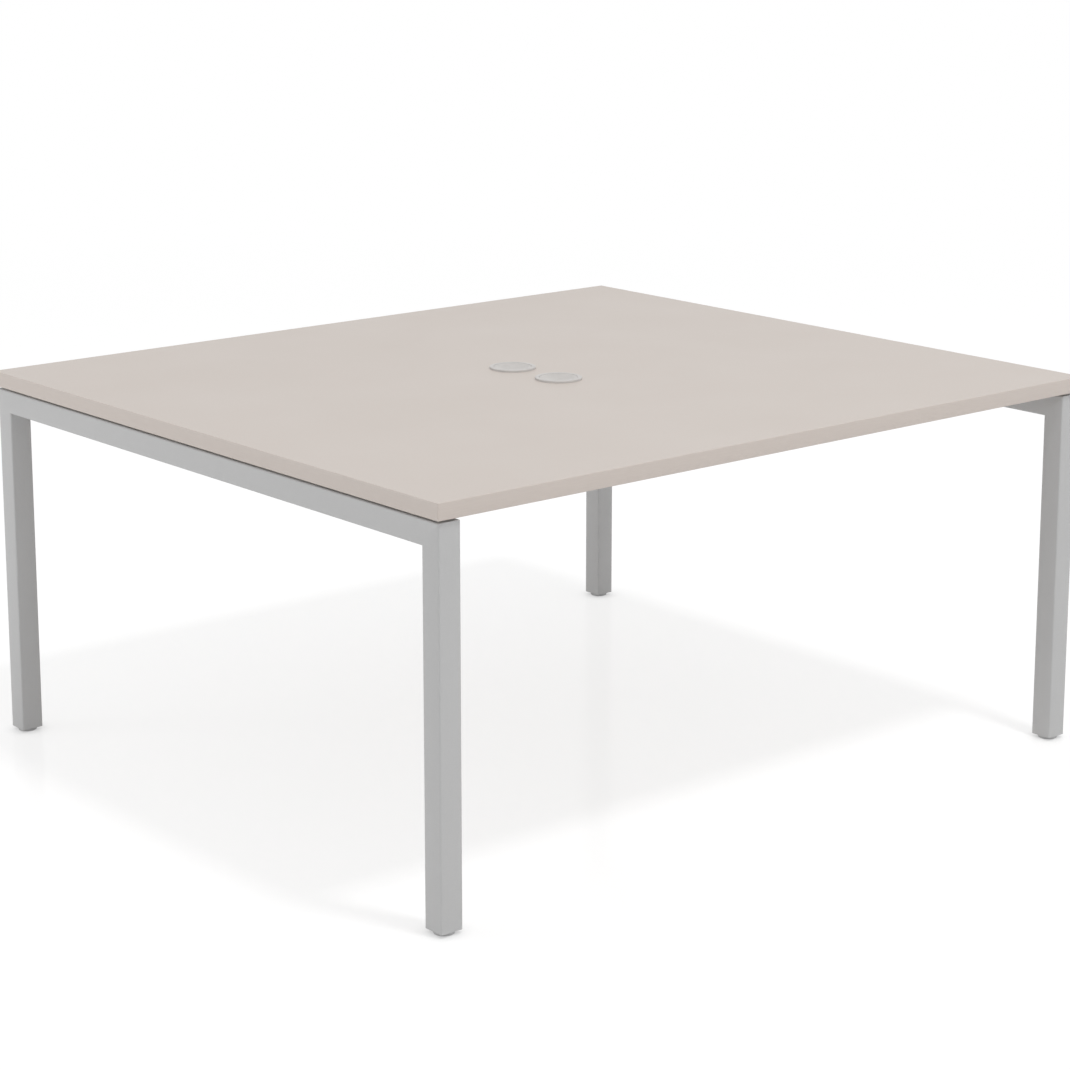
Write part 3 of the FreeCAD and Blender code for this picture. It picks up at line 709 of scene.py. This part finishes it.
# %% [markdown]
# ## Crossbars
# A crossbar is sawn at both ends to meet its legs, and then drilled: small holes in the upper wall
# for the screws into the board, larger ones below them for the screwdriver, and holes in the inner
# face for the rivet nuts that the beams are bolted to. All the drills are joined and cut at once.

# %% Drill the crossbars
SCREW_HOLE = 0.0034
ACCESS_HOLE = 0.007
NUT_HOLE = 0.0056
DRILL_DEPTH = 0.012
DRILL_SIDES = 32
BAR_FIXINGS = (-0.56, 0, 0.56)
BOLT_STEPS = (-0.04, 0.04)


def join(name, *pieces):
    """Make one piece of several."""
    choose(*pieces)
    bpy.ops.object.join()
    pieces[0].name = name
    return pieces[0]


def carve(piece, tool, operation="DIFFERENCE"):
    """Cut a piece with a tool, and throw the tool away."""
    modifier = piece.modifiers.new("carve", "BOOLEAN")
    modifier.operation = operation
    modifier.solver = "EXACT"
    modifier.object = tool
    choose(piece)
    bpy.ops.object.modifier_apply(modifier=modifier.name)
    throw_away(tool)


def add_drill(spot, radius, turn=STRAIGHT):
    """One drill bit, as long as it takes to go through a wall."""
    start_clean()
    bpy.ops.mesh.primitive_cylinder_add(
        vertices=DRILL_SIDES, radius=radius, depth=DRILL_DEPTH, location=spot, rotation=turn
    )
    return settle("drill")


def add_screw_drills(spots, low, high):
    """Two bits at each spot: one through the upper wall and one through the lower wall."""
    upper = [add_drill((x, y, high.z), SCREW_HOLE) for x, y in spots]
    lower = [add_drill((x, y, low.z), ACCESS_HOLE) for x, y in spots]
    return upper + lower


def model_crossbar():
    """The left crossbar: sawn at both ends and drilled for screws and rivet nuts."""
    low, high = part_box("crossbar_left")
    bar = model_tube("crossbar_left_tube", low, high, "y", TUBE_ROUND)
    saw(bar, Vector((0, low.y, high.z)), (0, -1, -1))
    saw(bar, Vector((0, high.y, high.z)), (0, 1, -1))
    drills = add_screw_drills([((low.x + high.x) / 2, y) for y in BAR_FIXINGS], low, high)
    for end in ENDS:
        plate_low, plate_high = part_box(f"beam_plate_{end}_left")
        plate = (plate_low + plate_high) / 2
        spots = [(high.x, plate.y + step, plate.z) for step in BOLT_STEPS]
        drills += [add_drill(spot, NUT_HOLE, QUARTER_ABOUT_Y) for spot in spots]
    carve(bar, join("drills", *drills))
    return bar


names = ("crossbar_left", "crossbar_right_tube", "crossbar_right")
hand_over_both(model_crossbar(), "frame_paint", *names)

# %% [markdown]
# ## Beams
# Two lighter tubes run under the board and tie the two frames together. They are cut square,
# because their ends are welded to flat plates, and drilled for screws as the crossbars are.

# %% Drill the beams
BEAM_ROUND = 0.0025
BEAM_FIXINGS = (-0.5, 0, 0.5)


def model_beam():
    """The front beam, drilled for screws."""
    low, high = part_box("beam_front")
    beam = model_tube("beam_front_tube", low, high, "x", BEAM_ROUND)
    drills = add_screw_drills([(x, (low.y + high.y) / 2) for x in BEAM_FIXINGS], low, high)
    carve(beam, join("drills", *drills))
    return beam


hand_over_both(model_beam(), "frame_paint", "beam_front", "beam_rear_tube", "beam_rear")

# %% [markdown]
# ## Weld beads
# A beam is welded to its end plate along both sides. A bead is a row of overlapping drops, one for
# each dip of the welding wire. A long cylinder would look like a pencil, so one ball is repeated
# by an Array modifier, and a Remesh modifier melts the row into one skin.

# %% Lay the weld beads
DROP_RADIUS = 0.0022
DROP_STEP = 0.0014
BEAD_MARGIN = 0.004
MELT_SIZE = 0.0004


def model_bead():
    """One upright bead, beside the left end of the front beam."""
    low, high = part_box("beam_front")
    room = high.z - low.z - 2 * BEAD_MARGIN
    start_clean()
    first_drop = (low.x, low.y, low.z + BEAD_MARGIN)
    bpy.ops.mesh.primitive_uv_sphere_add(radius=DROP_RADIUS, location=first_drop)
    bead = settle("bead")
    row = bead.modifiers.new("row", "ARRAY")
    row.count = math.floor(room / DROP_STEP) + 1
    row.use_relative_offset = False
    row.use_constant_offset = True
    row.constant_offset_displace = (0, 0, DROP_STEP)
    melt = bead.modifiers.new("melt", "REMESH")
    melt.voxel_size = MELT_SIZE
    choose(bead)
    bpy.ops.object.modifier_apply(modifier=row.name)
    bpy.ops.object.modifier_apply(modifier=melt.name)
    return bead


def place_beads(bead):
    """Copy the bead to both sides of both ends of both beams."""
    beam_low, beam_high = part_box("beam_front")
    across = Vector((0, beam_high.y - beam_low.y, 0))
    along = Vector((beam_high.x - beam_low.x, 0, 0))
    steps = (Vector(), across, along, across + along)
    front = join("front_beads", *[copy_of(bead, "bead", step) for step in steps])
    rear = copy_of(front, "rear_beads", turn=ABOUT_FACE)
    return join("beam_welds", front, rear)


bead = model_bead()
hand_over(place_beads(bead), "table", "frame_paint")
throw_away(bead)

# %% [markdown]
# ## Turned pieces
# Pads, studs, sleeves and caps are round. A lathe shape could start from a cylinder, but it is
# easier to draw half its section: one point is extruded along the section beside the axis, and
# spun all the way round. Rims are then picked by their radius and height, and bevelled.

# %% Helpers for turned pieces
TURN_STEPS = 72
RIM_STEPS = 3
POINT_SIZE = 0.001
FULL_TURN = 2 * math.pi
UP = Vector((0, 0, 1))


def turn_section(name, section, steps=TURN_STEPS):
    """Spin a section, given as pairs of radius and height, about the upright axis of the origin."""
    spots = [Vector((radius, 0, height)) for radius, height in section]
    start_clean()
    bpy.ops.mesh.primitive_plane_add(size=POINT_SIZE, location=spots[0])
    piece = settle(name)
    open_mesh(piece, "VERT")
    bpy.ops.mesh.select_all(action="SELECT")
    bpy.ops.mesh.merge(type="CENTER")
    for here, there in zip(spots, spots[1:]):
        bpy.ops.mesh.extrude_vertices_move(TRANSFORM_OT_translate={"value": there - here})
    bpy.ops.mesh.select_all(action="SELECT")
    bpy.ops.mesh.spin(steps=steps, angle=FULL_TURN, center=STRAIGHT, axis=UP)
    point_outwards()
    close_mesh()
    return piece


def round_rim(piece, radius, height, width):
    """Bevel the rim at one radius and height of a turned piece."""
    open_mesh(piece)
    select_where(piece, "edges", lambda spot: near(spot.xy.length, radius) and near(spot.z, height))
    bpy.ops.mesh.bevel(offset=width, segments=RIM_STEPS, affect="EDGES")
    close_mesh()


print("helpers ready")

# %% [markdown]
# ## Port sleeves
# Each cable port is a flanged sleeve pushed into a hole in the board. Its flange stands four
# millimetres proud, with a plain upright side that shows as a dark line in the picture. Inside, a
# ledge carries the cap, and half of the bottom is closed, so that the cap can close the port.
# Heights are measured from the top of the board.

# %% Turn the port sleeves
BORE_RADIUS = 0.035
SLEEVE_RADIUS = 0.0398
FLANGE_RADIUS = 0.046
MOUTH_RADIUS = 0.0376
FLANGE_HEIGHT = 0.004
SLEEVE_DEPTH = 0.024
LEDGE_DROP = 0.0015
FLANGE_ROUND = 0.0008
MOUTH_ROUND = 0.0005
LEDGE_ROUND = 0.0003
HALF_FLOOR_RADIUS = 0.0363
HALF_FLOOR_DROP = 0.0076
HALF_FLOOR_THICKNESS = 0.002
HALF_FLOOR_REACH = 0.004


def model_half_floor():
    """The half floor of a sleeve: a disc with one side cut off."""
    middle_drop = HALF_FLOOR_DROP + HALF_FLOOR_THICKNESS / 2
    start_clean()
    bpy.ops.mesh.primitive_cylinder_add(
        vertices=TURN_STEPS, radius=HALF_FLOOR_RADIUS, depth=HALF_FLOOR_THICKNESS,
        location=-UP * middle_drop,
    )
    half_floor = settle("half_floor")
    open_mesh(half_floor)
    bpy.ops.mesh.select_all(action="SELECT")
    cut_at = (0, HALF_FLOOR_REACH, 0)
    bpy.ops.mesh.bisect(plane_co=cut_at, plane_no=(0, 1, 0), clear_outer=True, use_fill=True)
    close_mesh()
    return half_floor


def model_sleeve():
    """A port sleeve about the origin."""
    section = [
        (BORE_RADIUS, -LEDGE_DROP), (BORE_RADIUS, -SLEEVE_DEPTH), (SLEEVE_RADIUS, -SLEEVE_DEPTH),
        (SLEEVE_RADIUS, 0), (FLANGE_RADIUS, 0), (FLANGE_RADIUS, FLANGE_HEIGHT),
        (MOUTH_RADIUS, FLANGE_HEIGHT), (MOUTH_RADIUS, -LEDGE_DROP), (BORE_RADIUS, -LEDGE_DROP),
    ]
    sleeve = turn_section("sleeve", section)
    round_rim(sleeve, FLANGE_RADIUS, FLANGE_HEIGHT, FLANGE_ROUND)
    round_rim(sleeve, MOUTH_RADIUS, FLANGE_HEIGHT, MOUTH_ROUND)
    round_rim(sleeve, BORE_RADIUS, -LEDGE_DROP, LEDGE_ROUND)
    round_rim(sleeve, SLEEVE_RADIUS, -SLEEVE_DEPTH, FLANGE_ROUND)
    return join("sleeve", sleeve, model_half_floor())


def port_point(end):
    """Where the axis of a port meets the top of the board."""
    _, board_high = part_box("top_panel")
    return floor_point(f"port_sleeve_{end}") + UP * (board_high.z - cad_low.z)


sleeve = model_sleeve()
for end in ENDS:
    copy = copy_of(sleeve, f"port_{end}_sleeve", port_point(end))
    hand_over(copy, "table", "port_plastic", f"port_sleeve_{end}")
throw_away(sleeve)

# %% [markdown]
# ## Port caps
# The cap is a dished disc, low in the middle so that a finger can turn it. The dish is part of a
# large sphere: its radius follows from its width and depth. A notch as wide as a thick cable is cut
# in from the rim, with a round end. At rest it points to the front, over the closed half of the
# sleeve. The cutter is a cylinder whose outer half is pulled out past the rim. The cap is a tenth
# of a millimetre clear of its ledge, so that it turns freely.

# %% Turn the port caps
CAP_RADIUS = 0.0373
CAP_RIM = 0.003
CAP_RISE = 0.0034
CAP_DISH = 0.0046
CAP_WALL = 0.0022
CAP_ROUND = 0.0006
CAP_SEAT_RADIUS = 0.0347
CAP_LIFT = 0.0001
DISH_STEPS = 12
NOTCH_CENTRE = 0.024
NOTCH_RADIUS = 0.009
NOTCH_PULL = 0.02
NOTCH_DEPTH = 0.03
NOTCH_SIDES = 48
NOTCH_ROUND = 0.0004
NOTCH_STEPS = 2
SHARP_ANGLE = math.radians(50)


def dish_points(radius, edge, bottom):
    """Points along a spherical dish, from its middle to its edge."""
    depth = edge - bottom
    sphere = (radius**2 + depth**2) / (2 * depth)
    steps = [radius * step / DISH_STEPS for step in range(DISH_STEPS + 1)]
    return [(reach, bottom + sphere - math.sqrt(sphere**2 - reach**2)) for reach in steps]


def model_notch_cutter():
    """A cylinder whose front half is pulled forward past the rim of the cap."""
    start_clean()
    bpy.ops.mesh.primitive_cylinder_add(
        vertices=NOTCH_SIDES, radius=NOTCH_RADIUS, depth=NOTCH_DEPTH, location=(0, -NOTCH_CENTRE, 0)
    )
    cutter = settle("notch_cutter")
    open_mesh(cutter, "VERT")
    select_where(cutter, "verts", lambda spot: spot.y < -NOTCH_CENTRE - TOUCH)
    bpy.ops.transform.translate(value=(0, -NOTCH_PULL, 0))
    close_mesh()
    return cutter


def model_cap():
    """A port cap about the origin."""
    top = dish_points(CAP_RADIUS - CAP_RIM, CAP_RISE, -CAP_DISH)
    seat = CAP_LIFT - LEDGE_DROP
    under = dish_points(CAP_SEAT_RADIUS, seat, -CAP_DISH - CAP_WALL)
    section = top + [(CAP_RADIUS, CAP_RISE), (CAP_RADIUS, seat)] + under[::-1]
    cap = turn_section("cap", section)
    round_rim(cap, CAP_RADIUS, CAP_RISE, CAP_ROUND)
    round_rim(cap, CAP_RADIUS - CAP_RIM, CAP_RISE, CAP_ROUND)
    carve(cap, model_notch_cutter())
    modifier = cap.modifiers.new("soft_edges", "BEVEL")
    modifier.width = NOTCH_ROUND
    modifier.segments = NOTCH_STEPS
    modifier.limit_method = "ANGLE"
    modifier.angle_limit = SHARP_ANGLE
    choose(cap)
    bpy.ops.object.modifier_apply(modifier=modifier.name)
    return cap


cap = model_cap()
for end in ENDS:
    copy = copy_of(cap, f"port_{end}_cap", port_point(end))
    hand_over(copy, f"cap_{end}", "port_plastic", f"port_cap_{end}")
throw_away(cap)

# %% [markdown]
# ## Foot pads
# A round pad stands under each leg. It is moulded, with a sloping shoulder and a small bevel where
# it meets the floor, and it is hollow from below for the head of the stud.

# %% Turn the foot pads
PAD_RADIUS = 0.0185
PAD_TOP_RADIUS = 0.0165
PAD_HEIGHT = 0.006
PAD_EDGE_HEIGHT = 0.0045
PAD_BEVEL = 0.0008
PAD_EDGE_ROUND = 0.0007
PAD_TOP_ROUND = 0.0005
PAD_HOLE = 0.0042
PAD_RECESS = 0.0062
PAD_CEILING = 0.003


def model_pad():
    """A foot pad on the origin."""
    section = [
        (PAD_HOLE, PAD_HEIGHT), (PAD_HOLE, PAD_CEILING), (PAD_RECESS, PAD_CEILING), (PAD_RECESS, 0),
        (PAD_RADIUS - PAD_BEVEL, 0), (PAD_RADIUS, PAD_BEVEL), (PAD_RADIUS, PAD_EDGE_HEIGHT),
        (PAD_TOP_RADIUS, PAD_HEIGHT), (PAD_HOLE, PAD_HEIGHT),
    ]
    pad = turn_section("pad", section)
    round_rim(pad, PAD_RADIUS, PAD_EDGE_HEIGHT, PAD_EDGE_ROUND)
    round_rim(pad, PAD_TOP_RADIUS, PAD_HEIGHT, PAD_TOP_ROUND)
    return pad


pad = model_pad()
for corner in CORNERS:
    copy = copy_of(pad, f"pad_{corner}_moulding", floor_point(f"foot_pad_{corner}"))
    hand_over(copy, f"pad_{corner}", "foot_plastic", f"foot_pad_{corner}")
throw_away(pad)

# %% [markdown]
# ## Hexagons
# The collars of the studs and the heads of the bolts are hexagons for a spanner. Their corners are
# turned off in a lathe, which leaves the curved chamfers seen on every bolt. So a hexagon here is
# what a six-sided prism and a turned shape have in common.

# %% A helper for hexagons
HEXAGON = 6
SPANNER_WIDTH = 0.013
HEXAGON_RADIUS = SPANNER_WIDTH / math.sqrt(3)
CHAMFER_START = 0.475 * SPANNER_WIDTH
CHAMFER_END = 0.635 * SPANNER_WIDTH
CHAMFER_SLOPE = math.tan(math.radians(30))


def model_hexagon(name, bottom, top):
    """A hexagon between two heights, with corners along X that are chamfered above and below."""
    start_clean()
    bpy.ops.mesh.primitive_cylinder_add(
        vertices=HEXAGON, radius=HEXAGON_RADIUS, depth=top - bottom,
        location=UP * (bottom + top) / 2, rotation=(0, 0, QUARTER_TURN),
    )
    prism = settle(name)
    slope = (CHAMFER_END - CHAMFER_START) * CHAMFER_SLOPE
    section = [
        (0, bottom), (CHAMFER_START, bottom), (CHAMFER_END, bottom + slope),
        (CHAMFER_END, top - slope), (CHAMFER_START, top), (0, top),
    ]
    carve(prism, turn_section("lathe", section), "INTERSECT")
    return prism


print("helper ready")

# %% [markdown]
# ## Threads
# Studs and bolts have real threads. A thread is one ridge that climbs as it goes round. Its section
# is drawn as a plane with a narrow outer edge, a Screw modifier winds it, and the two ends are
# closed. The foot of the ridge is sunk in the core a little, so no gap shows.

# %% A helper for threads
THREAD_CREST = 0.00398
THREAD_ROOT = 0.0033
THREAD_PITCH = 0.00125
THREAD_STEPS = 24
RIDGE_SINK = 0.0002
RIDGE_WIDTH = 0.9 * THREAD_PITCH
RIDGE_TAPER = 0.15
SECTION_SIDES = 4


def model_thread(bottom, top):
    """A ridge wound about the upright axis of the origin, between two heights."""
    turns = (top - bottom) / THREAD_PITCH
    foot = THREAD_ROOT - RIDGE_SINK
    start_clean()
    middle_place = ((THREAD_CREST + foot) / 2, 0, bottom)
    bpy.ops.mesh.primitive_plane_add(size=1, location=middle_place, rotation=QUARTER_ABOUT_X)
    bpy.context.object.scale = (THREAD_CREST - foot, RIDGE_WIDTH, 1)
    thread = settle("thread")
    open_mesh(thread, "VERT")
    select_where(thread, "verts", lambda spot: near(spot.x, THREAD_CREST))
    bpy.ops.transform.resize(value=(1, 1, RIDGE_TAPER))
    bpy.ops.mesh.select_all(action="SELECT")
    bpy.ops.mesh.delete(type="ONLY_FACE")
    close_mesh()
    modifier = thread.modifiers.new("wind", "SCREW")
    modifier.angle = FULL_TURN * turns
    modifier.screw_offset = top - bottom
    modifier.steps = round(THREAD_STEPS * turns)
    modifier.render_steps = modifier.steps
    bpy.ops.object.modifier_apply(modifier=modifier.name)
    open_mesh(thread)
    bpy.ops.mesh.select_all(action="SELECT")
    bpy.ops.mesh.fill_holes(sides=SECTION_SIDES)
    point_outwards()
    close_mesh()
    return thread


print("helper ready")

# %% [markdown]
# ## Foot studs
# A stud screws into the plug in the leg. Its hexagon stands on the pad, so that a spanner can turn
# it to level the table, and its head below keeps the pad on. The core is turned, and the thread
# and the hexagon are put over it.

# %% Thread the foot studs
STUD_RADIUS = 0.004
STUD_HEAD_RADIUS = 0.006
STUD_HEAD_BOTTOM = 0.0008
STUD_HEAD_TOP = 0.0028
COLLAR_BOTTOM = 0.006
COLLAR_TOP = 0.011
STUD_TOP = 0.041
TIP_BEVEL = 0.001


def model_stud():
    """A threaded stud, standing over the origin."""
    section = [
        (0, STUD_HEAD_BOTTOM), (STUD_HEAD_RADIUS, STUD_HEAD_BOTTOM),
        (STUD_HEAD_RADIUS, STUD_HEAD_TOP), (STUD_RADIUS, STUD_HEAD_TOP),
        (STUD_RADIUS, COLLAR_TOP), (THREAD_ROOT, COLLAR_TOP + TIP_BEVEL),
        (THREAD_ROOT, STUD_TOP - TIP_BEVEL), (THREAD_ROOT - TIP_BEVEL, STUD_TOP), (0, STUD_TOP),
    ]
    core = turn_section("core", section, THREAD_STEPS)
    collar = model_hexagon("collar", COLLAR_BOTTOM, COLLAR_TOP)
    thread = model_thread(COLLAR_TOP + THREAD_PITCH, STUD_TOP - THREAD_PITCH)
    return join("stud", core, collar, thread)


stud = model_stud()
for corner in CORNERS:
    copy = copy_of(stud, f"stud_{corner}_steel", floor_point(f"foot_stud_{corner}"))
    hand_over(copy, f"stud_{corner}", "zinc_steel", f"foot_stud_{corner}")
throw_away(stud)

# %% [markdown]
# ## Bolts
# Eight bolts hold the end plates of the beams to the crossbars. One is modelled upright, with its
# head below, and copied: each copy is laid on its side and moved to its hole. All the heads are on
# the inside, under the board.

# %% Place the bolts
BOLT_HEAD_HEIGHT = 0.005
BOLT_LENGTH = 0.022
BOLT_SHANK = 0.004
WASHER_THICKNESS = 0.0016


def model_bolt():
    """One bolt, standing on the origin with its head below and its thread above."""
    section = [
        (0, -BOLT_HEAD_HEIGHT / 2), (THREAD_CREST, -BOLT_HEAD_HEIGHT / 2), (THREAD_CREST, BOLT_SHANK),
        (THREAD_ROOT, BOLT_SHANK + TIP_BEVEL), (THREAD_ROOT, BOLT_LENGTH - TIP_BEVEL),
        (THREAD_ROOT - TIP_BEVEL, BOLT_LENGTH), (0, BOLT_LENGTH),
    ]
    core = turn_section("core", section, THREAD_STEPS)
    head = model_hexagon("head", -BOLT_HEAD_HEIGHT, 0)
    thread = model_thread(BOLT_SHANK + THREAD_PITCH, BOLT_LENGTH - THREAD_PITCH)
    return join("bolt", core, head, thread)


def place_bolts(bolt, corner):
    """Copy the bolt into both holes of one end plate."""
    low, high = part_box(f"beam_plate_{corner}")
    outward = 1 if low.x > 0 else -1
    inner_x = low.x if low.x > 0 else high.x
    turn = (0, outward * QUARTER_TURN, 0)
    row_y = (low.y + high.y) / 2
    row_z = (low.z + high.z) / 2
    head_x = inner_x - outward * WASHER_THICKNESS
    return [copy_of(bolt, "bolt", (head_x, row_y + step, row_z), turn) for step in BOLT_STEPS]


bolt = model_bolt()
bolts = [copy for corner in CORNERS for copy in place_bolts(bolt, corner)]
throw_away(bolt)
hand_over(join("plate_bolts", *bolts), "table", "zinc_steel", "beam_bolts")
